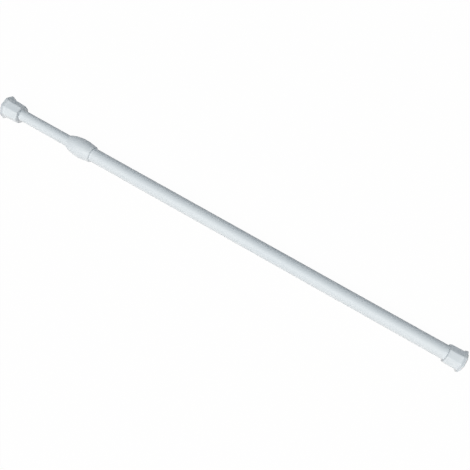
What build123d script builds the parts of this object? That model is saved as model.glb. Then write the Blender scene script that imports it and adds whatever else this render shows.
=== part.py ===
from build123d import *
import math
import os

# Extendable curtain rod of the sprung, twist-locking kind, lying along X. Lengths in millimetres.
# The origin is the centre of the thick tube's foot face, +X runs to the thin tube's end, +Z is up.
# The thick tube carries a cap, a foot pad and the collar. A slotted sleeve slides inside it, and a
# cone that a screw draws into the sleeve makes it grip. The screw's square shank turns with the
# thin tube and slides in it against a compression spring, which presses the two feet apart.

# Tubes
outer_tube_od = 16.0
outer_tube_wall = 0.5
outer_tube_bare = 430.6
inner_tube_od = 13.0
inner_tube_wall = 0.5
inner_tube_bare = 66.4
inner_tube_length = 415.0

# Clearances
running_fit = 0.08
push_fit = 0.05
end_float = 0.1
key_play = 0.1
pad_play = 0.1
cut_over = 0.1

# Thick tube's end cap
outer_cap_length = 17.4
outer_cap_flare = 3.0
outer_cap_small_corner = 10.65
outer_cap_body_corner = 11.05
outer_cap_rim_corner = 12.7

# Thin tube's end cap, a little larger, and turned from the other as the tubes happen to lie
inner_cap_length = 20.4
inner_cap_flare = 3.6
inner_cap_small_corner = 10.9
inner_cap_body_corner = 11.7
inner_cap_rim_corner = 13.95
inner_cap_turn = 10.0

# Both end caps
cap_sides = 8
cap_rim_band = 0.9
cap_flare_steps = 4
cap_corner_round = 2.6
cap_end_round = 1.1
cap_rim_round = 0.3
cap_web = 2.0
cap_shell = 1.6
cap_end_wall = 2.2
cap_rib = 1.2

# Foot pads
pad_margin = 2.6
pad_corner_round = 2.2
pad_recess = 1.2
pad_proud = 1.6
pad_edge_round = 0.5
pad_stem_radius = 2.0
pad_barb_radius = 2.7
pad_barb_length = 2.4
pad_barb_tip_radius = 1.4

# Bulb-shaped collar on the thick tube's mouth
collar_length = 32.4
collar_crest_from_mouth = 17.75
collar_crest_radius = 11.1
collar_crest_curve = 46.0
collar_taper_deg = 8.3
collar_rear_round = 1.2
collar_lip_round = 0.3
collar_socket = 22.0

# Guide bush in the thin tube's inner end
bush_rim = 3.0
bush_plug = 10.0
bush_stud_radius = 1.25
bush_stud_from_rim = 5.0
bush_rim_round = 0.4

# Plunger: screw, neck, thrust flange, square shank and spring spigot in one moulding
screw_radius = 3.0
screw_pitch = 4.0
screw_chamfer = 0.1
lock_turns = 1.0
flange_radius = 5.0
flange_width = 2.0
shank_side = 6.4
shank_corner = 0.5
plunge_travel = 22.0
plunge_spare = 2.0
spigot_radius = 2.5
spigot_length = 22.0
spigot_chamfer = 0.6

# Compression spring, its washer and its stop
washer_radius = 5.6
washer_thickness = 1.0
spring_wire = 1.1
spring_mean_radius = 4.5
spring_turns = 13
spring_length = 48.0
stop_length = 10.0
stop_seat_radius = 3.4
stop_seat_height = 3.0
stop_seat_chamfer = 0.7
pin_radius = 1.25
pin_sunk = 0.1
pin_wall = 0.4
pin_slit = 0.5

# Expansion sleeve, its drag ring and the cone that is drawn into it
sleeve_length = 30.0
sleeve_hub = 10.0
sleeve_slots = 3
sleeve_slot_width = 2.2
sleeve_slot_length = 17.0
sleeve_bore_radius = 4.5
sleeve_edge_round = 0.4
drag_ring_section = 1.5
drag_ring_from_end = 5.0
cone_length = 12.0
cone_large_radius = 6.0
cone_small_radius = 4.0
cone_key_radius = 6.8
cone_overhang = 2.0
locked_gap = 0.1

# Retaining clip and end screw
clip_radius = 4.0
clip_thickness = 0.7
clip_groove_depth = 0.7
clip_gap_share = 0.8
end_screw_radius = 1.25
end_screw_depth = 9.0
end_screw_head_radius = 3.8
end_screw_head = 1.9
end_screw_head_round = 0.95
end_screw_recess = 0.7
end_screw_recess_width = 0.8
cone_rest_gap = 0.3

# Radii that follow
outer_tube_radius = outer_tube_od / 2
outer_bore_radius = outer_tube_radius - outer_tube_wall
inner_tube_radius = inner_tube_od / 2
inner_bore_radius = inner_tube_radius - inner_tube_wall
gliding_radius = outer_bore_radius - running_fit

# Places along the rod, from the thick end to the thin end
outer_rim_x = pad_proud
outer_tube_x0 = outer_rim_x + pad_recess + cap_web
collar_x0 = outer_rim_x + outer_cap_length + outer_tube_bare
collar_x1 = collar_x0 + collar_length
outer_tube_x1 = collar_x0 + collar_socket
inner_cap_x0 = collar_x1 + inner_tube_bare
inner_rim_x = inner_cap_x0 + inner_cap_length
inner_tube_x1 = inner_rim_x - pad_recess - cap_web
inner_tube_x0 = inner_tube_x1 - inner_tube_length

# Places of the mechanism, from the thin tube's inner end
bush_x0 = inner_tube_x0 - bush_rim
shoulder_x = inner_tube_x0 + bush_plug
spring_x0 = shoulder_x + washer_thickness
spring_x1 = spring_x0 + spring_length
stop_x1 = spring_x1 + stop_length
flange_x1 = bush_x0 - plunge_travel - plunge_spare
flange_x0 = flange_x1 - flange_width
hub_x1 = flange_x0 - end_float
hub_x0 = hub_x1 - sleeve_hub
sleeve_x0 = hub_x1 - sleeve_length
clip_x1 = hub_x0 - end_float
clip_x0 = clip_x1 - clip_thickness
cone_x0 = sleeve_x0 - cone_overhang
screw_x0 = cone_x0 - cone_rest_gap
lock_travel = screw_pitch * lock_turns


def across(x):
    """The plane across the rod at x, with its own x along Y and its own y along Z."""
    return Plane.YZ.offset(x)


def disc(x0, x1, radius):
    """A solid round bar along X."""
    return extrude(across(x0) * Circle(radius), x1 - x0)


def ring(x0, x1, outer_radius, bore_radius):
    """A round tube along X."""
    return extrude(across(x0) * (Circle(outer_radius) - Circle(bore_radius)), x1 - x0)


def turned(*points):
    """A solid of revolution about the rod's axis, from corners given as (x, radius)."""
    outline = Polyline(*[(x, radius) for x, radius in points], close=True)
    return revolve(Plane.XZ * make_face(outline), Axis.X)


def polygon(x, corner_radius, corner_round):
    """A cap's cross-section at x, with a flat side down and rounded corners."""
    half_step = 180 / cap_sides
    outline = RegularPolygon(corner_radius, cap_sides, rotation=half_step)
    return across(x) * fillet(outline.vertices(), corner_round)


def bar_through(x, radius, half_length):
    """A round bar across the rod at x, along its own Z."""
    return Pos(x, 0, 0) * Cylinder(radius, 2 * half_length)


# Tubes, drawn steel with a painted finish

def make_outer_tube():
    return ring(outer_tube_x0, outer_tube_x1, outer_tube_radius, outer_bore_radius)


def make_inner_tube():
    tube = ring(inner_tube_x0, inner_tube_x1, inner_tube_radius, inner_bore_radius)
    tube -= bar_through(stop_x1 - stop_length / 2, pin_radius + push_fit, inner_tube_od)
    tube -= bar_through(inner_tube_x0 + bush_stud_from_rim, bush_stud_radius + push_fit, inner_tube_od)
    return tube


# End caps and their pads, of one form in two sizes

class CapForm:
    """The outside sizes of one end cap, and of the pad in its rim."""

    def __init__(self, length, flare, small_corner, body_corner, rim_corner):
        self.length = length
        self.flare = flare
        self.small_corner = small_corner
        self.body_corner = body_corner
        self.rim_corner = rim_corner
        self.pad_corner = rim_corner - pad_margin

    def flare_corner(self, step):
        """The corner radius at a step of the flare, steep at the rim and tangent to the body."""
        ease = 1 - math.sin(math.pi / 2 * step / cap_flare_steps)
        return self.body_corner + (self.rim_corner - self.body_corner) * ease


def make_cap_outside(form):
    """The cap with its rim plane at x = 0 and its small end towards +X."""
    flare_length = form.flare - cap_rim_band
    rim = extrude(polygon(0, form.rim_corner, cap_corner_round), cap_rim_band)
    flare_sections = []
    for step in range(cap_flare_steps + 1):
        x = cap_rim_band + flare_length * step / cap_flare_steps
        flare_sections.append(polygon(x, form.flare_corner(step), cap_corner_round))
    flare = loft(flare_sections)
    body = loft([polygon(form.flare, form.body_corner, cap_corner_round),
                 polygon(form.length, form.small_corner, cap_corner_round)])
    cap = rim + flare + body
    cap = fillet(cap.faces().sort_by(Axis.X)[-1].edges(), cap_end_round)
    return fillet(cap.faces().sort_by(Axis.X)[0].edges(), cap_rim_round)


def make_cap(form, tube_radius, cored):
    """A cap for one tube: its socket, the pad's recess and stem hole, and a cored, ribbed wall."""
    web_x0 = pad_recess
    web_x1 = web_x0 + cap_web
    socket_radius = tube_radius + push_fit
    cap = make_cap_outside(form)
    cap -= extrude(polygon(0, form.pad_corner + pad_play, pad_corner_round), pad_recess)
    cap -= disc(web_x1, form.length, socket_radius)
    cap -= disc(web_x0, web_x1, pad_stem_radius + push_fit)
    if cored:
        core_radius = form.small_corner * math.cos(math.pi / cap_sides) - cap_shell
        core_x1 = form.length - cap_end_wall
        core = ring(web_x0, core_x1, core_radius, socket_radius)
        for side in range(cap_sides):
            rib = Pos((web_x0 + core_x1) / 2, 0, core_radius / 2)
            rib *= Box(core_x1 - web_x0, cap_rib, core_radius)
            core -= Rot(360 * (side + 0.5) / cap_sides, 0, 0) * rib
        cap -= core
    return cap


def make_pad(form):
    """A soft pad let into the cap's rim, with its foot face at x = -pad_proud."""
    pad = extrude(polygon(-pad_proud, form.pad_corner, pad_corner_round), pad_proud + pad_recess)
    pad = fillet(pad.faces().sort_by(Axis.X)[0].edges(), pad_edge_round)
    stem_x1 = pad_recess + cap_web
    pad += disc(pad_recess, stem_x1, pad_stem_radius)
    pad += turned((stem_x1, 0), (stem_x1, pad_barb_radius),
                  (stem_x1 + pad_barb_length, pad_barb_tip_radius), (stem_x1 + pad_barb_length, 0))
    return pad


def at_outer_end(piece):
    """A piece drawn from the rim plane, set on the thick tube's end."""
    return Pos(outer_rim_x, 0, 0) * piece


def at_inner_end(piece):
    """A piece drawn from the rim plane, faced the other way and turned on the thin tube's end."""
    return Pos(inner_rim_x, 0, 0) * Rot(inner_cap_turn, 0, 0) * Rot(0, 0, 180) * piece


# Collar

def crest_point(angle_deg):
    """A point of the collar's round crest, at an angle from its widest place towards the mouth."""
    angle = math.radians(angle_deg)
    crest_x = collar_x1 - collar_crest_from_mouth
    x = crest_x + collar_crest_curve * math.sin(angle)
    return x, collar_crest_radius - collar_crest_curve * (1 - math.cos(angle))


def make_collar():
    """A moulded bulb over the thick tube's mouth, with a guide bore for the thin tube."""
    mouth_angle = math.degrees(math.asin(collar_crest_from_mouth / collar_crest_curve))
    front = crest_point(mouth_angle)
    crest = crest_point((mouth_angle - collar_taper_deg) / 2)
    back = crest_point(-collar_taper_deg)
    rear_radius = back[1] - (back[0] - collar_x0) * math.tan(math.radians(collar_taper_deg))
    outline = Line((collar_x0, 0), (collar_x0, rear_radius))
    outline += Line((collar_x0, rear_radius), back)
    outline += ThreePointArc(back, crest, front)
    outline += Line(front, (collar_x1, 0))
    outline += Line((collar_x1, 0), (collar_x0, 0))
    collar = revolve(Plane.XZ * make_face(outline), Axis.X)
    rims = collar.edges().filter_by(GeomType.CIRCLE).sort_by(Axis.X)
    collar = fillet(rims[0], collar_rear_round)
    rims = collar.edges().filter_by(GeomType.CIRCLE).sort_by(Axis.X)
    collar = fillet(rims[-1], collar_lip_round)
    collar -= disc(collar_x0, outer_tube_x1, outer_tube_radius + push_fit)
    collar -= disc(outer_tube_x1, collar_x1, inner_tube_radius + running_fit)
    return collar


# Guide bush, plunger and spring

def square_bar(x0, x1, side, corner):
    """A square bar along X with rounded corners."""
    return extrude(across(x0) * RectangleRounded(side, side, corner), x1 - x0)


def make_guide_bush():
    """A plug in the thin tube's end, with a rim that glides in the thick tube and a square bore."""
    rim = disc(bush_x0, inner_tube_x0, gliding_radius)
    rim = fillet(rim.edges().sort_by(Axis.X)[0], bush_rim_round)
    bush = rim + disc(inner_tube_x0, shoulder_x, inner_bore_radius - push_fit)
    bush += bar_through(inner_tube_x0 + bush_stud_from_rim, bush_stud_radius, inner_tube_radius - push_fit)
    bush -= square_bar(bush_x0, shoulder_x, shank_side + 2 * key_play, shank_corner)
    return bush


def make_plunger():
    """The screw, the thrust flange, the square shank and the spring's spigot."""
    screw = disc(screw_x0, flange_x0, screw_radius)
    screw = chamfer(screw.edges().sort_by(Axis.X)[0], screw_chamfer)
    plunger = screw + disc(flange_x0, flange_x1, flange_radius)
    plunger += square_bar(flange_x1, shoulder_x, shank_side, shank_corner)
    spigot = disc(shoulder_x, shoulder_x + spigot_length, spigot_radius)
    plunger += chamfer(spigot.edges().sort_by(Axis.X)[-1], spigot_chamfer)
    groove_radius = screw_radius - clip_groove_depth
    plunger -= ring(clip_x0, clip_x1, screw_radius + cut_over, groove_radius)
    plunger -= disc(screw_x0, screw_x0 + end_screw_depth, end_screw_radius + push_fit)
    return plunger


def make_spring_washer():
    return ring(shoulder_x, spring_x0, washer_radius, spigot_radius + key_play)


def make_compression_spring():
    """A coil spring with its ends ground flat on the washer and on the stop."""
    coil = Helix(spring_length / spring_turns, spring_length, spring_mean_radius,
                 center=(spring_x0, 0, 0), direction=(1, 0, 0))
    wire = sweep(Plane(coil @ 0, z_dir=coil % 0) * Circle(spring_wire / 2), path=coil, is_frenet=True)
    room = disc(spring_x0, spring_x1, inner_bore_radius)
    return wire & room


def make_spring_stop():
    """A plug pinned in the thin tube, with a raised seat inside the spring's last coils."""
    stop = disc(spring_x1, stop_x1, inner_bore_radius - push_fit)
    seat = disc(spring_x1 - stop_seat_height, spring_x1, stop_seat_radius)
    stop += chamfer(seat.edges().sort_by(Axis.X)[0], stop_seat_chamfer)
    return stop - bar_through(stop_x1 - stop_length / 2, pin_radius + push_fit, inner_tube_od)


def make_stop_pin():
    """A rolled spring pin through the thin tube and the stop, just below the tube's surface."""
    pin_x = stop_x1 - stop_length / 2
    half_length = inner_tube_radius - pin_sunk
    pin = bar_through(pin_x, pin_radius, half_length)
    pin -= bar_through(pin_x, pin_radius - pin_wall, half_length)
    return pin - Pos(pin_x + pin_radius, 0, 0) * Box(2 * pin_radius, pin_slit, 2 * half_length)


# Expansion sleeve, drag ring, cone, clip and end screw

def cone_slope():
    return (cone_large_radius - cone_small_radius) / cone_length


def sleeve_bore_at(x):
    """The sleeve's tapered bore at x, a locked gap outside the cone when it is drawn in."""
    locked_x0 = cone_x0 + lock_travel
    return cone_large_radius + locked_gap - (x - locked_x0) * cone_slope()


def make_expansion_sleeve():
    """A slotted plastic sleeve: fingers over the cone and a hub that bears the screw."""
    mouth_radius = sleeve_bore_at(sleeve_x0)
    taper_length = (mouth_radius - sleeve_bore_radius) / cone_slope()
    sleeve = disc(sleeve_x0, hub_x1, gliding_radius)
    sleeve = fillet(sleeve.edges().filter_by(GeomType.CIRCLE), sleeve_edge_round)
    sleeve -= turned((sleeve_x0, 0), (sleeve_x0, mouth_radius),
                     (sleeve_x0 + taper_length, sleeve_bore_radius), (hub_x0, sleeve_bore_radius), (hub_x0, 0))
    sleeve -= disc(hub_x0, hub_x1, screw_radius + running_fit)
    for slot in range(sleeve_slots):
        cut = Pos(sleeve_x0 + sleeve_slot_length / 2, 0, gliding_radius)
        cut *= Box(sleeve_slot_length, sleeve_slot_width, 2 * gliding_radius)
        sleeve -= Rot(360 * slot / sleeve_slots, 0, 0) * cut
    drag_x = hub_x1 - drag_ring_from_end
    groove_half = drag_ring_section / 2 + push_fit
    return sleeve - ring(drag_x - groove_half, drag_x + groove_half,
                         gliding_radius + cut_over, gliding_radius - drag_ring_section - push_fit)


def make_drag_ring():
    """A rubber ring in the sleeve's groove, which keeps the sleeve from turning with the screw."""
    drag_x = hub_x1 - drag_ring_from_end
    section = drag_ring_section / 2
    return Pos(drag_x, 0, 0) * Rot(0, 90, 0) * Torus(gliding_radius - section, section)


def make_cone_nut():
    """A cone on the screw, with keys that run in the sleeve's slots."""
    cone_x1 = cone_x0 + cone_length
    cone = turned((cone_x0, 0), (cone_x0, cone_large_radius), (cone_x1, cone_small_radius), (cone_x1, 0))
    key_width = sleeve_slot_width - 2 * key_play
    for key in range(sleeve_slots):
        bar = Pos(cone_x0 + cone_length / 2, 0, cone_key_radius / 2)
        bar *= Box(cone_length, key_width, cone_key_radius)
        cone += Rot(360 * key / sleeve_slots, 0, 0) * bar
    return cone - disc(cone_x0, cone_x1, screw_radius + running_fit)


def make_retaining_clip():
    """A sprung steel clip in the screw's groove, which holds the screw in the hub."""
    root_radius = screw_radius - clip_groove_depth
    clip = ring(clip_x0, clip_x1, clip_radius, root_radius + push_fit)
    gap_width = 2 * root_radius * clip_gap_share
    gap = Pos((clip_x0 + clip_x1) / 2, 0, -clip_radius)
    gap *= Box(clip_thickness, gap_width, 2 * clip_radius)
    return clip - gap


def make_end_screw():
    """A pan-head screw in the plunger's end, whose head keeps the cone on the screw."""
    head = disc(screw_x0 - end_screw_head, screw_x0, end_screw_head_radius)
    head = fillet(head.edges().sort_by(Axis.X)[0], end_screw_head_round)
    for angle in (0, 90):
        slot = Box(end_screw_recess, end_screw_head_radius, end_screw_recess_width)
        head -= Pos(screw_x0 - end_screw_head + end_screw_recess / 2, 0, 0) * Rot(angle, 0, 0) * slot
    return head + disc(screw_x0, screw_x0 + end_screw_depth - end_float, end_screw_radius)


outer_cap = CapForm(outer_cap_length, outer_cap_flare, outer_cap_small_corner,
                    outer_cap_body_corner, outer_cap_rim_corner)
inner_cap = CapForm(inner_cap_length, inner_cap_flare, inner_cap_small_corner,
                    inner_cap_body_corner, inner_cap_rim_corner)

pieces = {
    "outer_tube": make_outer_tube(),
    "collar": make_collar(),
    "outer_end_cap": at_outer_end(make_cap(outer_cap, outer_tube_radius, cored=False)),
    "outer_foot_pad": at_outer_end(make_pad(outer_cap)),
    "expansion_sleeve": make_expansion_sleeve(),
    "drag_ring": make_drag_ring(),
    "cone_nut": make_cone_nut(),
    "plunger": make_plunger(),
    "retaining_clip": make_retaining_clip(),
    "end_screw": make_end_screw(),
    "spring_washer": make_spring_washer(),
    "inner_tube": make_inner_tube(),
    "guide_bush": make_guide_bush(),
    "compression_spring": make_compression_spring(),
    "spring_stop": make_spring_stop(),
    "stop_pin": make_stop_pin(),
    "inner_end_cap": at_inner_end(make_cap(inner_cap, inner_tube_radius, cored=True)),
    "inner_foot_pad": at_inner_end(make_pad(inner_cap)),
}

os.makedirs("parts", exist_ok=True)
for name, piece in pieces.items():
    export_step(piece, f"parts/{name}.step")
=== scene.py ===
import logging
import math
from dataclasses import dataclass
from enum import Enum

import bmesh
import bpy
from mathutils import Matrix, Vector


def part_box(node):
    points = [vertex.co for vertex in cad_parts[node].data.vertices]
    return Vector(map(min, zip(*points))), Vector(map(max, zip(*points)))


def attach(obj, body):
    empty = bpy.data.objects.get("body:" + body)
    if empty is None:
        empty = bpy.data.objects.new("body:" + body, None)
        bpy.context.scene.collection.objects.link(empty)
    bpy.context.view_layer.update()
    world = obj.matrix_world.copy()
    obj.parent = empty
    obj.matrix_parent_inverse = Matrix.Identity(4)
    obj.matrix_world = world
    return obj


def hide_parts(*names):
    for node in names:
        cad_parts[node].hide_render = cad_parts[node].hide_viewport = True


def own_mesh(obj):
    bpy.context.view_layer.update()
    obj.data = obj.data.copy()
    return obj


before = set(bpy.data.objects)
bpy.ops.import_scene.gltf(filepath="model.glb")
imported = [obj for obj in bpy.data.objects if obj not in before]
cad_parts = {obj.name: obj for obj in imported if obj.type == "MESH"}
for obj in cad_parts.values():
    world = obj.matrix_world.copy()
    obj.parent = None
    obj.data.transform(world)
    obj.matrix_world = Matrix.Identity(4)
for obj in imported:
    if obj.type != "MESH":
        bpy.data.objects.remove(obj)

log = logging.getLogger("curtain_rod")

MM = 0.001
ORIGIN = (0.0, 0.0, 0.0)
ROD_AXIS = Vector((1.0, 0.0, 0.0))
WHITE = (1.0, 1.0, 1.0, 1.0)
PAD_SIDES = 8
HALF_SIDE = math.pi / PAD_SIDES

Colour = tuple[float, float, float, float]
Span = tuple[float, float]

# The part of a noise's range over which a finish changes.
FULL_SPAN = (0.0, 1.0)
WIDE_SPAN = (0.3, 0.7)
MIDDLE_SPAN = (0.35, 0.65)
PEAK_SPAN = (0.7, 0.8)


class RodEnd(Enum):
    """An end of the rod, by the way along X that its foot faces."""

    THICK = -1.0
    THIN = 1.0


@dataclass(frozen=True)
class Noise:
    """A layer of noise: its feature size across the rod, its octaves, and its stretch along it."""

    feature: float
    detail: float
    along: float = 1.0


def linear(red: int, green: int, blue: int) -> Colour:
    """Turns a display colour into the scene's linear colour, by the usual display curve.

    Args:
        red: Red, 0 to 255.
        green: Green, 0 to 255.
        blue: Blue, 0 to 255.

    Returns:
        The linear colour with an alpha of 1.
    """
    shares = [channel / 255 for channel in (red, green, blue)]
    curve = [share / 12.92 if share <= 0.04045 else ((share + 0.055) / 1.055) ** 2.4
             for share in shares]
    return curve[0], curve[1], curve[2], 1.0


class ShaderTree:
    """A material's node tree, with a short call for each node that the finishes share."""

    def __init__(self, name: str) -> None:
        """Starts a material with one Principled shader.

        Args:
            name: The material's name.
        """
        self.material = bpy.data.materials.new(name)
        self.material.use_nodes = True
        self.nodes = self.material.node_tree.nodes
        self.links = self.material.node_tree.links
        self.nodes.clear()
        self.surface = self.nodes.new("ShaderNodeBsdfPrincipled")
        output = self.nodes.new("ShaderNodeOutputMaterial")
        self.links.new(self.surface.outputs["BSDF"], output.inputs["Surface"])
        self.place = self.nodes.new("ShaderNodeTexCoord").outputs["Object"]

    def mapped(self, stretch: Vector, turn_deg: float = 0.0) -> bpy.types.NodeSocket:
        """Turns the place about the rod's axis and stretches it.

        Args:
            stretch: The scale along each axis.
            turn_deg: The turn about X, in degrees.

        Returns:
            The mapped place.
        """
        mapping = self.nodes.new("ShaderNodeMapping")
        mapping.inputs["Scale"].default_value = stretch
        mapping.inputs["Rotation"].default_value = (math.radians(turn_deg), 0.0, 0.0)
        self.links.new(self.place, mapping.inputs["Vector"])
        return mapping.outputs["Vector"]

    def noise(self, layer: Noise) -> bpy.types.NodeSocket:
        """Makes noise with features of a real size.

        Args:
            layer: The noise's sizes, in metres.

        Returns:
            The noise, from 0 to 1.
        """
        noise = self.nodes.new("ShaderNodeTexNoise")
        noise.inputs["Scale"].default_value = 1.0 / layer.feature
        noise.inputs["Detail"].default_value = layer.detail
        stretch = Vector((1.0 / layer.along, 1.0, 1.0))
        self.links.new(self.mapped(stretch), noise.inputs["Vector"])
        return noise.outputs["Fac"]

    def spread(self, source: bpy.types.NodeSocket, span: Span,
               low: float = 0.0, high: float = 1.0) -> bpy.types.NodeSocket:
        """Maps a span of values to low..high, held at both ends.

        Args:
            source: The value to map.
            span: The source values that give low and high.
            low: The result at the span's start.
            high: The result at the span's end.

        Returns:
            The mapped value.
        """
        node = self.nodes.new("ShaderNodeMapRange")
        node.inputs["From Min"].default_value = span[0]
        node.inputs["From Max"].default_value = span[1]
        node.inputs["To Min"].default_value = low
        node.inputs["To Max"].default_value = high
        self.links.new(source, node.inputs["Value"])
        return node.outputs["Result"]

    def math(self, operation: str, first: bpy.types.NodeSocket,
             second: bpy.types.NodeSocket | float = 0.0) -> bpy.types.NodeSocket:
        """Joins two values with one operation, or changes the first alone.

        Args:
            operation: The Math node's operation.
            first: The first value.
            second: The second value, a socket or a number.

        Returns:
            The result.
        """
        node = self.nodes.new("ShaderNodeMath")
        node.operation = operation
        self.links.new(first, node.inputs[0])
        if isinstance(second, float):
            node.inputs[1].default_value = second
        else:
            self.links.new(second, node.inputs[1])
        return node.outputs["Value"]

    def coordinate(self, axis: str, turn_deg: float = 0.0) -> bpy.types.NodeSocket:
        """Gives one coordinate of the place.

        Args:
            axis: X, Y or Z.
            turn_deg: The turn about X before it is read, in degrees.

        Returns:
            The coordinate, in metres.
        """
        node = self.nodes.new("ShaderNodeSeparateXYZ")
        self.links.new(self.mapped(Vector((1.0, 1.0, 1.0)), turn_deg), node.inputs["Vector"])
        return node.outputs[axis]

    def blended(self, share: bpy.types.NodeSocket, first: bpy.types.NodeSocket | Colour,
                second: Colour) -> bpy.types.NodeSocket:
        """Mixes two colours.

        Args:
            share: How much of the second colour shows, from 0 to 1.
            first: The first colour, a socket or four numbers.
            second: The second colour, four numbers.

        Returns:
            The mixed colour.
        """
        node = self.nodes.new("ShaderNodeMix")
        node.data_type = "RGBA"
        self.links.new(share, node.inputs["Factor"])
        if isinstance(first, tuple):
            node.inputs["A"].default_value = first
        else:
            self.links.new(first, node.inputs["A"])
        node.inputs["B"].default_value = second
        return node.outputs["Result"]

    def bump(self, height: bpy.types.NodeSocket, depth: float) -> None:
        """Adds relief to the surface, on top of what is there.

        Args:
            height: The relief, from 0 to 1.
            depth: The depth of the relief, in metres.
        """
        node = self.nodes.new("ShaderNodeBump")
        node.inputs["Distance"].default_value = depth
        self.links.new(height, node.inputs["Height"])
        normal = self.surface.inputs["Normal"]
        if normal.is_linked:
            self.links.new(normal.links[0].from_socket, node.inputs["Normal"])
        self.links.new(node.outputs["Normal"], normal)

    def set(self, **values: float) -> None:
        """Sets constants straight on the shader's sockets.

        Args:
            **values: Socket names, with underscores for spaces, and their numbers.
        """
        for name, value in values.items():
            self.surface.inputs[name.replace("_", " ")].default_value = value

    def feed(self, name: str, source: bpy.types.NodeSocket) -> None:
        """Feeds one of the shader's sockets.

        Args:
            name: The socket's name.
            source: What feeds it.
        """
        self.links.new(source, self.surface.inputs[name])


@dataclass(frozen=True)
class TubePaint:
    """Smooth white paint on drawn tube: fine orange peel, draw lines and a few scuffs."""

    name: str = "tube_paint"
    colour: Colour = linear(231, 236, 239)
    shade: Colour = linear(226, 232, 236)
    scuff_colour: Colour = linear(203, 207, 210)
    cloud: Noise = Noise(44.0 * MM, 3.0, 3.0)
    lines: Noise = Noise(0.35 * MM, 2.0, 60.0)
    line_depth: float = 0.0012 * MM
    scuffs: Noise = Noise(3.0 * MM, 6.0, 4.0)
    scuff_share: float = 0.35
    scuff_roughness: float = 0.15
    rub_span: Span = (0.5, 0.72)
    rub_share: float = 0.8
    peel: Noise = Noise(1.1 * MM, 2.0)
    peel_depth: float = 0.004 * MM
    roughness: Span = (0.44, 0.54)
    ior: float = 1.48

    def build(self, rub: Span | None = None) -> bpy.types.Material:
        """Builds the paint.

        Args:
            rub: Where along X sliding has rubbed the paint most and where that has faded, or None.

        Returns:
            The material.
        """
        tree = ShaderTree(self.name if rub is None else self.name + "_rubbed")
        cloud = tree.noise(self.cloud)
        lines = tree.noise(self.lines)
        scuffs = tree.spread(tree.noise(self.scuffs), PEAK_SPAN, 0.0, self.scuff_share)
        if rub is not None:
            near = tree.spread(tree.coordinate("X"), rub, 1.0, 0.0)
            rubbed = tree.spread(lines, self.rub_span, 0.0, self.rub_share)
            scuffs = tree.math("MAXIMUM", scuffs, tree.math("MULTIPLY", near, rubbed))
        body = tree.blended(tree.spread(cloud, MIDDLE_SPAN), self.colour, self.shade)
        tree.feed("Base Color", tree.blended(scuffs, body, self.scuff_colour))
        gloss = tree.spread(lines, WIDE_SPAN, *self.roughness)
        dulled = tree.math("MULTIPLY", scuffs, self.scuff_roughness)
        tree.feed("Roughness", tree.math("ADD", gloss, dulled))
        tree.bump(tree.noise(self.peel), self.peel_depth)
        tree.bump(lines, self.line_depth)
        tree.set(IOR=self.ior)
        return tree.material


@dataclass(frozen=True)
class WhiteMoulding:
    """White moulded plastic: an eroded mould's grain, a fine parting line and handling marks."""

    name: str = "white_moulding"
    colour: Colour = linear(232, 237, 240)
    shade: Colour = linear(228, 233, 237)
    mark_colour: Colour = linear(206, 209, 211)
    tone: Noise = Noise(6.0 * MM, 3.0)
    marks: Noise = Noise(1.6 * MM, 8.0)
    mark_share: float = 0.35
    mark_roughness: float = 0.1
    gloss: Noise = Noise(2.4 * MM, 4.0)
    roughness: Span = (0.42, 0.54)
    line_half_width: float = 0.1 * MM
    line_depth: float = 0.05 * MM
    sink: Noise = Noise(7.0 * MM, 1.0)
    sink_depth: float = 0.02 * MM
    grain: Noise = Noise(0.32 * MM, 3.0)
    grain_depth: float = 0.003 * MM
    ior: float = 1.49

    def build(self, turn_deg: float = 0.0) -> bpy.types.Material:
        """Builds the plastic.

        Args:
            turn_deg: The piece's turn about the rod, which its parting line follows.

        Returns:
            The material.
        """
        tree = ShaderTree(f"{self.name}_{round(turn_deg)}")
        tone = tree.spread(tree.noise(self.tone), MIDDLE_SPAN)
        body = tree.blended(tone, self.colour, self.shade)
        marks = tree.spread(tree.noise(self.marks), PEAK_SPAN, 0.0, self.mark_share)
        tree.feed("Base Color", tree.blended(marks, body, self.mark_colour))
        gloss = tree.spread(tree.noise(self.gloss), WIDE_SPAN, *self.roughness)
        dulled = tree.math("MULTIPLY", marks, self.mark_roughness)
        tree.feed("Roughness", tree.math("ADD", gloss, dulled))
        off_line = tree.math("ABSOLUTE", tree.coordinate("Y", -turn_deg))
        line = tree.spread(off_line, (0.0, self.line_half_width), 1.0, 0.0)
        tree.bump(line, self.line_depth)
        tree.bump(tree.noise(self.sink), self.sink_depth)
        tree.bump(tree.noise(self.grain), self.grain_depth)
        tree.set(IOR=self.ior)
        return tree.material


@dataclass(frozen=True)
class FootRubber:
    """Soft off-white rubber: matt, faintly mottled, with fine pores."""

    name: str
    colour: Colour = linear(214, 216, 216)
    shade: Colour = linear(200, 202, 203)
    dust_colour: Colour = linear(186, 184, 180)
    mottle: Noise = Noise(2.2 * MM, 5.0)
    dust: Noise = Noise(0.9 * MM, 6.0)
    dust_span: Span = (0.6, 0.75)
    dust_share: float = 0.6
    pores: Noise = Noise(0.25 * MM, 3.0)
    pore_depth: float = 0.02 * MM
    roughness: Span = (0.72, 0.86)
    ior: float = 1.47
    scatter_share: float = 0.05
    scatter_reach: float = 1.0 * MM

    def build(self) -> bpy.types.Material:
        """Builds the rubber.

        Returns:
            The material.
        """
        tree = ShaderTree(self.name)
        mottle = tree.spread(tree.noise(self.mottle), MIDDLE_SPAN)
        dust = tree.spread(tree.noise(self.dust), self.dust_span, 0.0, self.dust_share)
        body = tree.blended(mottle, self.colour, self.shade)
        tree.feed("Base Color", tree.blended(dust, body, self.dust_colour))
        tree.feed("Roughness", tree.spread(mottle, FULL_SPAN, *self.roughness))
        tree.bump(tree.noise(self.pores), self.pore_depth)
        tree.set(IOR=self.ior, Subsurface_Weight=self.scatter_share,
                 Subsurface_Scale=self.scatter_reach)
        return tree.material


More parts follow.
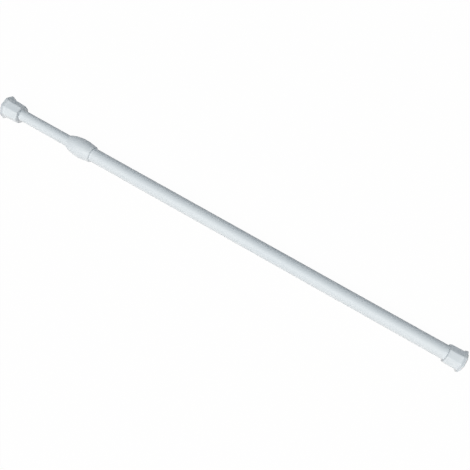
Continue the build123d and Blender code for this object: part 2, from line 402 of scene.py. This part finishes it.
@dataclass(frozen=True)
class InnerPlastic:
    """Uncoloured moulded plastic of the pieces inside, with flow marks."""

    name: str = "natural_plastic"
    colour: Colour = linear(228, 225, 214)
    shade: Colour = linear(214, 210, 197)
    flow: Noise = Noise(1.4 * MM, 4.0, 5.0)
    grain: Noise = Noise(0.3 * MM, 2.0)
    grain_depth: float = 0.008 * MM
    roughness: Span = (0.42, 0.58)
    ior: float = 1.53
    scatter_share: float = 0.15
    scatter_reach: float = 2.0 * MM

    def build(self) -> bpy.types.Material:
        """Builds the plastic.

        Returns:
            The material.
        """
        tree = ShaderTree(self.name)
        flow = tree.noise(self.flow)
        marks = tree.spread(flow, WIDE_SPAN)
        tree.feed("Base Color", tree.blended(marks, self.colour, self.shade))
        tree.feed("Roughness", tree.spread(flow, WIDE_SPAN, *self.roughness))
        tree.bump(tree.noise(self.grain), self.grain_depth)
        tree.set(IOR=self.ior, Subsurface_Weight=self.scatter_share,
                 Subsurface_Scale=self.scatter_reach)
        return tree.material


@dataclass(frozen=True)
class DragRubber:
    """Black ring rubber with a dull bloom."""

    name: str = "black_rubber"
    colour: Colour = linear(34, 34, 35)
    bloom_colour: Colour = linear(62, 62, 64)
    bloom: Noise = Noise(0.8 * MM, 5.0)
    bloom_span: Span = (0.45, 0.7)
    grain: Noise = Noise(0.15 * MM, 2.0)
    grain_depth: float = 0.006 * MM
    roughness: Span = (0.55, 0.75)
    ior: float = 1.5

    def build(self) -> bpy.types.Material:
        """Builds the rubber.

        Returns:
            The material.
        """
        tree = ShaderTree(self.name)
        bloom = tree.spread(tree.noise(self.bloom), self.bloom_span)
        tree.feed("Base Color", tree.blended(bloom, self.colour, self.bloom_colour))
        tree.feed("Roughness", tree.spread(bloom, FULL_SPAN, *self.roughness))
        tree.bump(tree.noise(self.grain), self.grain_depth)
        tree.set(IOR=self.ior)
        return tree.material


@dataclass(frozen=True)
class Steel:
    """Bare steel with a dull film: spring wire, pin and clip steel or bright zinc plate."""

    name: str
    colour: Colour
    shade: Colour
    roughness: Span
    grain: Noise = Noise(0.2 * MM, 4.0)
    grain_depth: float = 0.004 * MM
    film: Noise = Noise(1.8 * MM, 5.0)
    film_span: Span = (0.35, 0.7)

    def build(self) -> bpy.types.Material:
        """Builds the metal.

        Returns:
            The material.
        """
        tree = ShaderTree(self.name)
        grain = tree.noise(self.grain)
        film = tree.spread(tree.noise(self.film), self.film_span)
        tree.feed("Base Color", tree.blended(film, self.colour, self.shade))
        tree.feed("Roughness", tree.spread(grain, WIDE_SPAN, *self.roughness))
        tree.bump(grain, self.grain_depth)
        tree.set(Metallic=1.0)
        return tree.material


SPRING_STEEL = Steel("spring_steel", linear(158, 160, 163), linear(122, 124, 128), (0.24, 0.42))
PIN_STEEL = Steel("pin_steel", linear(150, 152, 155), linear(118, 120, 124), (0.28, 0.46))
CLIP_STEEL = Steel("clip_steel", linear(150, 152, 155), linear(118, 120, 124), (0.3, 0.48))
PLATED_STEEL = Steel("plated_steel", linear(205, 207, 210), linear(182, 186, 192), (0.18, 0.36))


def finished(bm: bmesh.types.BMesh, name: str, sharp_deg: float) -> bpy.types.Object:
    """Turns a mesh under construction into a shaded object.

    Args:
        bm: The mesh, which is freed.
        name: The object's name.
        sharp_deg: The angle past which an edge is drawn sharp, in degrees.

    Returns:
        The object, at the origin.
    """
    bmesh.ops.recalc_face_normals(bm, faces=bm.faces)
    mesh = bpy.data.meshes.new(name)
    bm.to_mesh(mesh)
    bm.free()
    mesh.shade_smooth()
    mesh.set_sharp_from_angle(angle=math.radians(sharp_deg))
    piece = bpy.data.objects.new(name, mesh)
    bpy.context.scene.collection.objects.link(piece)
    return piece


def dress(piece: bpy.types.Object, material: bpy.types.Material) -> None:
    """Gives a piece one material all over.

    Args:
        piece: The object.
        material: The material.
    """
    if piece.data.materials:
        for number in range(len(piece.data.materials)):
            piece.data.materials[number] = material
    else:
        piece.data.materials.append(material)
    log.info("%s: %s", piece.name, material.name)


def dress_nodes(material: bpy.types.Material, *nodes: str) -> None:
    """Gives CAD nodes a material.

    Args:
        material: The material.
        *nodes: The nodes' names.
    """
    for node in nodes:
        dress(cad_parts[node], material)


def settle(piece: bpy.types.Object, body: str, node: str) -> None:
    """Puts a new piece on its body, in place of the CAD node that it stands for.

    Args:
        piece: The object.
        body: The CAD body that it moves with.
        node: The CAD node that it replaces.
    """
    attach(piece, body)
    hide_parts(node)
    log.info("%s: %d faces, rides on %s, stands for %s",
             piece.name, len(piece.data.polygons), body, node)


@dataclass
class DrawnTube:
    """A drawn tube whose cut ends are brushed round."""

    node: str
    wall: float = 0.5 * MM
    edge_round: float = 0.14 * MM
    edge_steps: int = 3
    steps: int = 160
    sharp_deg: float = 50.0

    def build(self) -> bpy.types.Object:
        """Builds the tube where its CAD node lies.

        Returns:
            The tube.
        """
        low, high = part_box(self.node)
        bm = bmesh.new()
        bore, outside = high.z - self.wall, high.z
        wall = [bm.verts.new((x, 0.0, radius)) for x, radius in (
            (low.x, bore), (low.x, outside), (high.x, outside), (high.x, bore))]
        bm.faces.new(wall)
        bmesh.ops.bevel(bm, geom=wall, offset=self.edge_round, offset_type="OFFSET",
                        affect="VERTICES", segments=self.edge_steps, profile=0.5, material=-1)
        bmesh.ops.spin(bm, geom=list(bm.edges), cent=ORIGIN, axis=ROD_AXIS, angle=math.tau,
                       steps=self.steps, use_merge=True)
        sections = [face for face in bm.faces if len(face.verts) > 4]
        bmesh.ops.delete(bm, geom=sections, context="FACES_ONLY")
        tube = finished(bm, self.node + "_drawn", self.sharp_deg)
        weighted = tube.modifiers.new("long_faces_first", "WEIGHTED_NORMAL")
        weighted.keep_sharp = True
        return tube


@dataclass(frozen=True)
class PadRing:
    """One eight-sided ring of a foot pad: its depth behind the foot face, and its size."""

    depth: float
    corner: float
    corner_round: float


@dataclass
class FootPad:
    """An eight-sided rubber pad with a ribbed, dished foot face, and a barbed stem behind it."""

    node: str
    body: str
    corner: float
    end: RodEnd
    turn_deg: float = 0.0
    thickness: float = 2.8 * MM
    corner_round: float = 2.2 * MM
    least_round: float = 0.5 * MM
    round_steps: int = 6
    edge_round: float = 0.5 * MM
    edge_steps: int = 4
    grooves: int = 3
    groove_depth: float = 0.4 * MM
    groove_slope: float = 0.25 * MM
    groove_floor: float = 0.45 * MM
    rib_width: float = 1.2 * MM
    outer_land: float = 1.1 * MM
    dish_slope: float = 0.03
    web: float = 2.0 * MM
    stem_root: float = 0.5 * MM
    stem_steps: int = 36
    stem_radius: float = 2.0 * MM
    barb_radius: float = 2.7 * MM
    barb_length: float = 2.4 * MM
    tip_radius: float = 1.4 * MM
    weld: float = 0.001 * MM
    sharp_deg: float = 30.0

    def _pad_ring(self, depth: float, inwards: float) -> PadRing:
        """Sizes a ring that lies some way inside the pad's outline.

        Args:
            depth: How far the ring lies behind the foot face.
            inwards: How far it lies inside the outline, square to the sides.

        Returns:
            The ring.
        """
        corner_round = max(self.corner_round - inwards, self.least_round)
        return PadRing(depth, self.corner - inwards / math.cos(HALF_SIDE), corner_round)

    def _rings(self) -> list[PadRing]:
        """Lists the pad's rings from its back, round its edge and over its ribs to the middle."""
        rings = [self._pad_ring(self.thickness, 0.0)]
        for step in range(self.edge_steps + 1):
            angle = math.pi / 2 * step / self.edge_steps
            rings.append(self._pad_ring(self.edge_round * (1.0 - math.sin(angle)),
                                        self.edge_round * (1.0 - math.cos(angle))))
        inwards = self.edge_round + self.outer_land
        for _ in range(self.grooves):
            for depth, step in (
                    (0.0, self.groove_slope), (self.groove_depth, self.groove_floor),
                    (self.groove_depth, self.groove_slope), (0.0, self.rib_width)):
                rings.append(self._pad_ring(depth + self.dish_slope * inwards, inwards))
                inwards += step
        return rings

    def _draw(self, bm: bmesh.types.BMesh, ring: PadRing) -> list[bmesh.types.BMEdge]:
        """Draws one ring of edges.

        Args:
            bm: The mesh that it goes into.
            ring: The ring's depth and size.

        Returns:
            The ring's edges.
        """
        before = set(bm.verts)
        made = bmesh.ops.create_circle(bm, cap_ends=True, segments=PAD_SIDES, radius=ring.corner)
        bmesh.ops.bevel(bm, geom=made["verts"], offset=ring.corner_round * math.tan(HALF_SIDE),
                        offset_type="OFFSET", affect="VERTICES", segments=self.round_steps,
                        profile=0.5, material=-1)
        verts = [vert for vert in bm.verts if vert not in before]
        bmesh.ops.transform(bm, matrix=Matrix.Translation((0.0, 0.0, ring.depth))
                            @ Matrix.Rotation(HALF_SIDE, 4, "Z"), verts=verts)
        face = verts[0].link_faces[0]
        edges = list(face.edges)
        bmesh.ops.delete(bm, geom=[face], context="FACES_ONLY")
        return edges

    def _stem(self, bm: bmesh.types.BMesh) -> None:
        """Turns the barbed stem that holds the pad in its cap.

        Args:
            bm: The mesh that it goes into.
        """
        root, neck = self.thickness - self.stem_root, self.thickness + self.web
        tip = neck + self.barb_length
        line = [bm.verts.new((radius, 0.0, depth)) for radius, depth in (
            (0.0, root), (self.stem_radius, root), (self.stem_radius, neck),
            (self.barb_radius, neck), (self.tip_radius, tip), (0.0, tip))]
        edges = [bm.edges.new(pair) for pair in zip(line, line[1:])]
        bmesh.ops.spin(bm, geom=line + edges, cent=ORIGIN, axis=(0.0, 0.0, 1.0), angle=math.tau,
                       steps=self.stem_steps, use_merge=True)

    def build(self) -> bpy.types.Object:
        """Builds the pad where its CAD node lies.

        Returns:
            The pad.
        """
        bm = bmesh.new()
        rings = [self._draw(bm, ring) for ring in self._rings()]
        for ring, following in zip(rings, rings[1:]):
            bmesh.ops.bridge_loops(bm, edges=ring + following)
        bmesh.ops.contextual_create(bm, geom=rings[0])
        bmesh.ops.contextual_create(bm, geom=rings[-1])
        self._stem(bm)
        bmesh.ops.remove_doubles(bm, verts=bm.verts, dist=self.weld)
        low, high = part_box(self.node)
        foot_x = high.x if self.end is RodEnd.THIN else low.x
        stand = (Matrix.Translation((foot_x, 0.0, 0.0))
                 @ Matrix.Rotation(math.radians(self.turn_deg), 4, "X")
                 @ Matrix.Rotation(-self.end.value * math.pi / 2, 4, "Y"))
        bmesh.ops.transform(bm, matrix=stand, verts=bm.verts)
        return finished(bm, self.node + "_ribbed", self.sharp_deg)

    def dress(self, pad: bpy.types.Object) -> None:
        """Gives the pad its rubber and sets it on its body.

        Args:
            pad: The ribbed pad.
        """
        dress(pad, FootRubber(self.node + "_rubber").build())
        settle(pad, self.body, self.node)


@dataclass
class ThickTube:
    """The thick tube with its collar, end cap and foot pad, all fixed to it."""

    body: str = "thick_tube"
    pad_corner: float = 10.1 * MM

    def build(self) -> bpy.types.Object:
        """Builds the painted tube.

        Returns:
            The tube.
        """
        return DrawnTube("outer_tube").build()

    def dress(self, tube: bpy.types.Object) -> None:
        """Finishes the sub-assembly.

        Args:
            tube: The painted tube.
        """
        dress(tube, TubePaint().build())
        settle(tube, self.body, "outer_tube")
        dress_nodes(WhiteMoulding().build(), "collar", "outer_end_cap")
        pad = FootPad("outer_foot_pad", self.body, self.pad_corner, RodEnd.THICK)
        pad.dress(pad.build())


@dataclass
class PressSpring:
    """The coil spring, wound from round wire with closed ends that are ground flat."""

    node: str = "compression_spring"
    body: str = "thin_tube"
    wire: float = 1.1 * MM
    free_turns: int = 11
    closed_turns: int = 1
    closed_rise: float = 1.02
    wire_steps: int = 12
    turn_steps: int = 40
    pressed_share: float = 26.0 / 48.0
    sharp_deg: float = 40.0

    def _wind(self, bm: bmesh.types.BMesh, section: list, turns: int, rise: float) -> list:
        """Winds some turns on from the wire's end.

        Args:
            bm: The mesh.
            section: The wire's end ring, vertices and edges.
            turns: The number of turns.
            rise: How far one turn advances along the rod.

        Returns:
            The new end ring.
        """
        steps = turns * self.turn_steps
        wound = bmesh.ops.spin(bm, geom=section, cent=ORIGIN, axis=ROD_AXIS, steps=steps,
                               angle=turns * math.tau, dvec=ROD_AXIS * (turns * rise / steps))
        return wound["geom_last"]

    def _close(self, bm: bmesh.types.BMesh) -> None:
        """Fills the mesh's open ends."""
        bmesh.ops.holes_fill(bm, edges=[edge for edge in bm.edges if edge.is_boundary])

    def build(self) -> bpy.types.Object:
        """Builds the spring where its CAD node lies.

        Returns:
            The spring.
        """
        low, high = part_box(self.node)
        half_wire = self.wire / 2
        closed = self.wire * self.closed_rise
        rise = (high.x - low.x - 2 * self.closed_turns * closed) / self.free_turns
        bm = bmesh.new()
        made = bmesh.ops.create_circle(bm, segments=self.wire_steps, radius=half_wire)
        stand = (Matrix.Translation((low.x, 0.0, high.z - half_wire))
                 @ Matrix.Rotation(math.pi / 2, 4, "X"))
        bmesh.ops.transform(bm, matrix=stand, verts=made["verts"])
        ring = made["verts"] + list(bm.edges)
        for turns, advance in ((self.closed_turns, closed), (self.free_turns, rise),
                               (self.closed_turns, closed)):
            ring = self._wind(bm, ring, turns, advance)
        self._close(bm)
        for face_x, outwards in ((low.x, -1.0), (high.x, 1.0)):
            bmesh.ops.bisect_plane(bm, geom=bm.verts[:] + bm.edges[:] + bm.faces[:],
                                   plane_co=(face_x, 0.0, 0.0), plane_no=ROD_AXIS * outwards,
                                   clear_outer=True)
            self._close(bm)
        return finished(bm, self.node + "_wound", self.sharp_deg)

    def dress(self, spring: bpy.types.Object) -> None:
        """Gives the spring its steel, sets it on its body and gives it a mesh of its own.

        Args:
            spring: The wound spring.
        """
        dress(spring, SPRING_STEEL.build())
        settle(spring, self.body, self.node)
        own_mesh(spring)


@dataclass
class ThinTube:
    """The thin tube with its end cap and foot pad, and the spring and plugs inside it."""

    body: str = "thin_tube"
    cap_turn_deg: float = 10.0
    pad_corner: float = 11.35 * MM
    rub_length: float = 30.0 * MM

    def build(self) -> bpy.types.Object:
        """Builds the painted tube.

        Returns:
            The tube.
        """
        return DrawnTube("inner_tube").build()

    def dress(self, tube: bpy.types.Object) -> None:
        """Finishes the sub-assembly, with the paint rubbed where the tube comes out of the collar.

        Args:
            tube: The painted tube.
        """
        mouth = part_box("collar")[1].x
        dress(tube, TubePaint().build((mouth, mouth + self.rub_length)))
        settle(tube, self.body, "inner_tube")
        dress_nodes(WhiteMoulding().build(self.cap_turn_deg), "inner_end_cap")
        pad = FootPad("inner_foot_pad", self.body, self.pad_corner, RodEnd.THIN,
                      self.cap_turn_deg)
        pad.dress(pad.build())
        dress_nodes(InnerPlastic("plug_plastic").build(), "guide_bush", "spring_stop")
        dress_nodes(PIN_STEEL.build(), "stop_pin")


@dataclass
class TwistLock:
    """The expanding sleeve, its drag ring and cone, and the plunger that screws the cone in."""

    def dress(self) -> None:
        """Finishes the sub-assembly."""
        dress_nodes(InnerPlastic().build(), "expansion_sleeve", "cone_nut", "plunger")
        dress_nodes(DragRubber().build(), "drag_ring")
        dress_nodes(CLIP_STEEL.build(), "retaining_clip")
        dress_nodes(PLATED_STEEL.build(), "end_screw", "spring_washer")


@dataclass(frozen=True)
class Lamp:
    """One large soft lamp that hangs square to the rod, some way round it."""

    name: str
    height_deg: float
    power: float
    colour: tuple[float, float, float]
    x: float = 0.28
    distance: float = 8.0
    size: float = 8.0

    def build(self) -> None:
        """Hangs the lamp, aimed at the middle of the rod's axis."""
        angle = math.radians(self.height_deg)
        aim = Vector((self.x, 0.0, 0.0))
        out = Vector((0.0, math.cos(angle), math.sin(angle)))
        data = bpy.data.lights.new(self.name, "AREA")
        data.shape = "DISK"
        data.size = self.size
        data.energy = self.power
        data.color = self.colour
        lamp = bpy.data.objects.new(self.name, data)
        bpy.context.scene.collection.objects.link(lamp)
        turn = out.to_track_quat("Z", "X").to_matrix().to_4x4()
        lamp.matrix_world = Matrix.Translation(aim + self.distance * out) @ turn
        log.info("lamp %s: %.1f W at %.0f degrees", self.name, self.power, self.height_deg)


SOFT_OVERHEAD = Lamp("soft_overhead", 62.0, 628.0, (1.0, 0.965, 0.93))


@dataclass
class Studio:
    """The camera at the photograph's angle, a white floor, and cool room light with one lamp."""

    lens_mm: float = 42.9
    sensor_mm: float = 36.0
    clip_start: float = 0.01
    clip_end: float = 100.0
    distance: float = 0.600
    aim_x: float = 0.2644
    lean_deg: float = 8.8
    height_deg: float = 85.5
    slope_deg: float = 29.28
    axis_offset: float = 0.57 * MM
    floor_size: float = 40.0
    floor_colour: tuple[float, float, float] = (0.88, 0.80, 0.76)
    floor_white: float = 0.98
    world_light: float = 0.165
    world_colour: tuple[float, float, float] = (0.5, 0.79, 1.0)
    lamp: Lamp = SOFT_OVERHEAD

    def _camera(self) -> None:
        """Places the camera: back leans to the thick end, right and up follow the rod's slope."""
        lean, height = math.radians(self.lean_deg), math.radians(self.height_deg)
        back = Vector((-math.sin(lean), math.cos(lean) * math.cos(height),
                       math.cos(lean) * math.sin(height)))
        to_thick = -ROD_AXIS
        along = (to_thick - to_thick.dot(back) * back).normalized()
        across = back.cross(along)
        slope = math.radians(self.slope_deg)
        right = math.cos(slope) * along + math.sin(slope) * across
        up = math.cos(slope) * across - math.sin(slope) * along
        spot = Vector((self.aim_x, 0.0, 0.0)) + self.distance * back - self.axis_offset * across
        data = bpy.data.cameras.new("camera")
        data.lens = self.lens_mm
        data.sensor_width = self.sensor_mm
        data.clip_start = self.clip_start
        data.clip_end = self.clip_end
        camera = bpy.data.objects.new("camera", data)
        bpy.context.scene.collection.objects.link(camera)
        axes = Matrix((right, up, back)).transposed().to_4x4()
        camera.matrix_world = Matrix.Translation(spot) @ axes
        bpy.context.scene.camera = camera

    def _seen_directly(self, nodes: bpy.types.Nodes,
                       links: bpy.types.NodeLinks) -> bpy.types.NodeSocket:
        """Says whether a ray comes from the camera, a reflection or glass.

        Args:
            nodes: The tree's nodes.
            links: The tree's links.

        Returns:
            1 for such a ray, otherwise 0.
        """
        path = nodes.new("ShaderNodeLightPath")
        seen = path.outputs["Is Camera Ray"]
        for name in ("Is Glossy Ray", "Is Transmission Ray"):
            either = nodes.new("ShaderNodeMath")
            either.operation = "MAXIMUM"
            links.new(seen, either.inputs[0])
            links.new(path.outputs[name], either.inputs[1])
            seen = either.outputs["Value"]
        return seen

    def _floor(self, near_thick: Vector, near_thin: Vector) -> None:
        """Lays a white floor under both caps, which keeps a soft share of the rod's shadow.

        Args:
            near_thick: The thick cap's lowest point.
            near_thin: The thin cap's lowest point.
        """
        run = near_thin - near_thick
        tilt = Matrix.Rotation(-math.atan2(run.z, run.x), 4, "Y")
        bm = bmesh.new()
        bmesh.ops.create_grid(bm, x_segments=1, y_segments=1, size=self.floor_size / 2,
                              matrix=Matrix.Translation(near_thick) @ tilt)
        mesh = bpy.data.meshes.new("floor")
        bm.to_mesh(mesh)
        bm.free()
        floor = bpy.data.objects.new("floor", mesh)
        bpy.context.scene.collection.objects.link(floor)
        material = bpy.data.materials.new("floor_white")
        material.use_nodes = True
        nodes, links = material.node_tree.nodes, material.node_tree.links
        nodes.clear()
        matt = nodes.new("ShaderNodeBsdfDiffuse")
        matt.inputs["Color"].default_value = (*self.floor_colour, 1.0)
        glow = nodes.new("ShaderNodeEmission")
        glow.inputs["Strength"].default_value = 1.0
        share = nodes.new("ShaderNodeMath")
        share.operation = "MULTIPLY"
        share.inputs[1].default_value = self.floor_white
        mixed = nodes.new("ShaderNodeMixShader")
        output = nodes.new("ShaderNodeOutputMaterial")
        links.new(self._seen_directly(nodes, links), share.inputs[0])
        links.new(share.outputs["Value"], mixed.inputs["Fac"])
        links.new(matt.outputs["BSDF"], mixed.inputs[1])
        links.new(glow.outputs["Emission"], mixed.inputs[2])
        links.new(mixed.outputs["Shader"], output.inputs["Surface"])
        mesh.materials.append(material)

    def _world(self) -> None:
        """Lights the room evenly with cool light, and shows white behind everything."""
        world = bpy.data.worlds.new("room")
        bpy.context.scene.world = world
        world.use_nodes = True
        nodes, links = world.node_tree.nodes, world.node_tree.links
        nodes.clear()
        room = nodes.new("ShaderNodeBackground")
        room.inputs["Color"].default_value = (*self.world_colour, 1.0)
        room.inputs["Strength"].default_value = self.world_light
        white = nodes.new("ShaderNodeBackground")
        white.inputs["Color"].default_value = WHITE
        white.inputs["Strength"].default_value = 1.0
        mixed = nodes.new("ShaderNodeMixShader")
        output = nodes.new("ShaderNodeOutputWorld")
        links.new(self._seen_directly(nodes, links), mixed.inputs["Fac"])
        links.new(room.outputs["Background"], mixed.inputs[1])
        links.new(white.outputs["Background"], mixed.inputs[2])
        links.new(mixed.outputs["Shader"], output.inputs["Surface"])

    def build(self, near_thick: Vector, near_thin: Vector) -> None:
        """Sets up the camera, floor, room light and lamp.

        Args:
            near_thick: The thick cap's lowest point.
            near_thin: The thin cap's lowest point.
        """
        self._camera()
        self._floor(near_thick, near_thin)
        self._world()
        self.lamp.build()
        bpy.context.scene.view_settings.view_transform = "Standard"
        log.info("studio: floor from %.4f m to %.4f m", near_thick.z, near_thin.z)


def rim_low(cap: str, end: RodEnd) -> Vector:
    """Gives the lowest point of a cap's rim.

    Args:
        cap: The cap's node.
        end: The rod's end that the cap is on.

    Returns:
        The point, in the rod's middle plane.
    """
    low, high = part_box(cap)
    return Vector((high.x if end is RodEnd.THIN else low.x, 0.0, low.z))


def main(studio: Studio) -> None:
    """Builds the rod's looks on the frame, sub-assembly by sub-assembly.

    Args:
        studio: The camera, floor and light.
    """
    logging.basicConfig(level=logging.INFO, format="%(message)s")
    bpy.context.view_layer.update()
    studio.build(rim_low("outer_end_cap", RodEnd.THICK), rim_low("inner_end_cap", RodEnd.THIN))
    for assembly in (ThickTube(), ThinTube(), PressSpring()):
        assembly.dress(assembly.build())
    TwistLock().dress()


if __name__ == "__main__":
    main(Studio())
